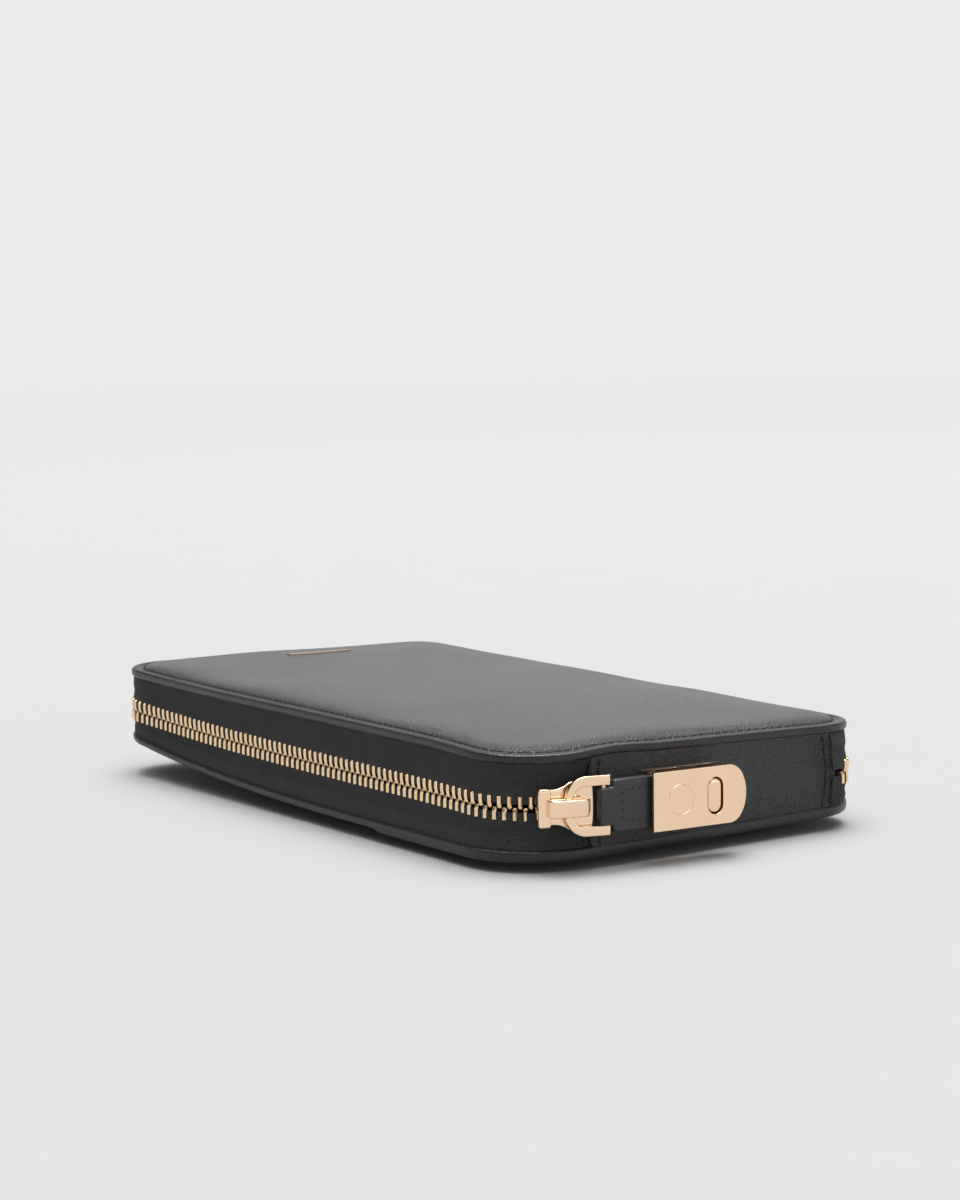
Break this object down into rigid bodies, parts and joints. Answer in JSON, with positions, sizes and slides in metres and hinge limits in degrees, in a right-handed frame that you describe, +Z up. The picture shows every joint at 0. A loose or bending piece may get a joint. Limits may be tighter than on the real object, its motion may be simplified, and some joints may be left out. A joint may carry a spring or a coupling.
{
  "type": "long zip-around wallet",
  "caption": "Long padded leather wallet with a leather spine on one short side, a metal zip round the other three, and a hollow metal pull tab on a leather strap.",
  "frame": {"origin": "middle of the flat face on the back cover that the wallet rests on", "axes": "+X towards the leather spine on the short side, -Y towards the long side where the zip starts, +Z up through the front cover"},
  "size_m": [0.1939, 0.105, 0.0298],
  "materials": {
    "black_leather": "smooth, fine grain, soft sheen",
    "zip_tape_cloth": "black herringbone weave",
    "lining_cloth": "black twill",
    "pale_rose_gold": "polished, pale rose gold plating",
    "backing_board": "plain fibre board",
    "foam_padding": "soft foam sheet",
    "coil_plastic": "black nylon"
  },
  "bodies": {
    "back_half": {"back_edge_binding": "black_leather", "back_padding": "foam_padding", "back_board": "backing_board", "back_lining": "lining_cloth", "back_card_slot_1": "lining_cloth", "back_card_slot_2": "lining_cloth", "back_card_slot_3": "lining_cloth", "back_card_slot_4": "lining_cloth", "back_cover": "black_leather", "back_card_pocket": "black_leather", "spine_panel": "black_leather", "spine_board": "backing_board", "spine_lining": "lining_cloth", "lower_tape": "zip_tape_cloth", "lower_teeth": "pale_rose_gold", "lower_zip_stop": "pale_rose_gold"},
    "front_half": {"front_edge_binding": "black_leather", "front_padding": "foam_padding", "front_board": "backing_board", "front_lining": "lining_cloth", "front_card_slot_1": "lining_cloth", "front_card_slot_2": "lining_cloth", "front_card_slot_3": "lining_cloth", "front_card_slot_4": "lining_cloth", "front_cover": "black_leather", "front_badge": "pale_rose_gold", "upper_tape": "zip_tape_cloth", "upper_teeth": "pale_rose_gold", "upper_zip_stop": "pale_rose_gold"},
    "zip_slider": {"slider_body": "pale_rose_gold"},
    "pull_link": {"pull_link": "pale_rose_gold", "pull_pin": "pale_rose_gold"},
    "pull_strap": {"pull_strap": "black_leather", "pull_tab": "pale_rose_gold", "pull_tab_inlay": "pale_rose_gold", "pull_rivet": "pale_rose_gold"},
    "coin_pocket": {"coin_pocket_lower_wall": "lining_cloth", "coin_pocket_upper_wall": "lining_cloth", "coin_pocket_edge": "lining_cloth", "coin_pocket_flap": "lining_cloth", "coin_tape_near": "zip_tape_cloth", "coin_tape_far": "zip_tape_cloth", "coin_coil_near": "coil_plastic", "coin_coil_far": "coil_plastic"},
    "coin_slider": {"coin_slider": "pale_rose_gold"},
    "coin_pull": {"coin_pull": "pale_rose_gold"}
  },
  "joints": [
    {"name": "cover_opens", "type": "hinge", "parent": "back_half", "child": "front_half", "pos_m": [0.0925, 0, 0.0249], "axis": [0, 1, 0], "range_deg": [0, 120]},
    {"name": "coin_pocket_turns", "type": "hinge", "parent": "back_half", "child": "coin_pocket", "pos_m": [0.0881, 0, 0.015], "axis": [0, 1, 0], "range_deg": [0, 60]},
    {"name": "slider_rounds_corner", "type": "hinge", "parent": "back_half", "child": "zip_slider", "pos_m": [0.0725, -0.0325, 0.015], "axis": [0, 0, 1], "range_deg": [-70, 0]},
    {"name": "link_swings", "type": "hinge", "parent": "zip_slider", "child": "pull_link", "pos_m": [0.0935, -0.03852, 0.015], "axis": [0, 0, 1], "range_deg": [-90, 0]},
    {"name": "strap_swings", "type": "hinge", "parent": "pull_link", "child": "pull_strap", "pos_m": [0.09576, -0.03064, 0.015], "axis": [0, 0, 1], "range_deg": [-110, 0]},
    {"name": "coin_slider_runs", "type": "slide", "parent": "coin_pocket", "child": "coin_slider", "axis": [1, 0, 0], "range_m": [-0.115, 0]},
    {"name": "coin_pull_swings", "type": "hinge", "parent": "coin_slider", "child": "coin_pull", "pos_m": [0.056, -0.028, 0.0175], "axis": [0, 0, 1], "range_deg": [-30, 30]}
  ],
  "couplings": [
    {"joint": "coin_pocket_turns", "follows": "cover_opens", "ratio": 0.5}
  ]
}
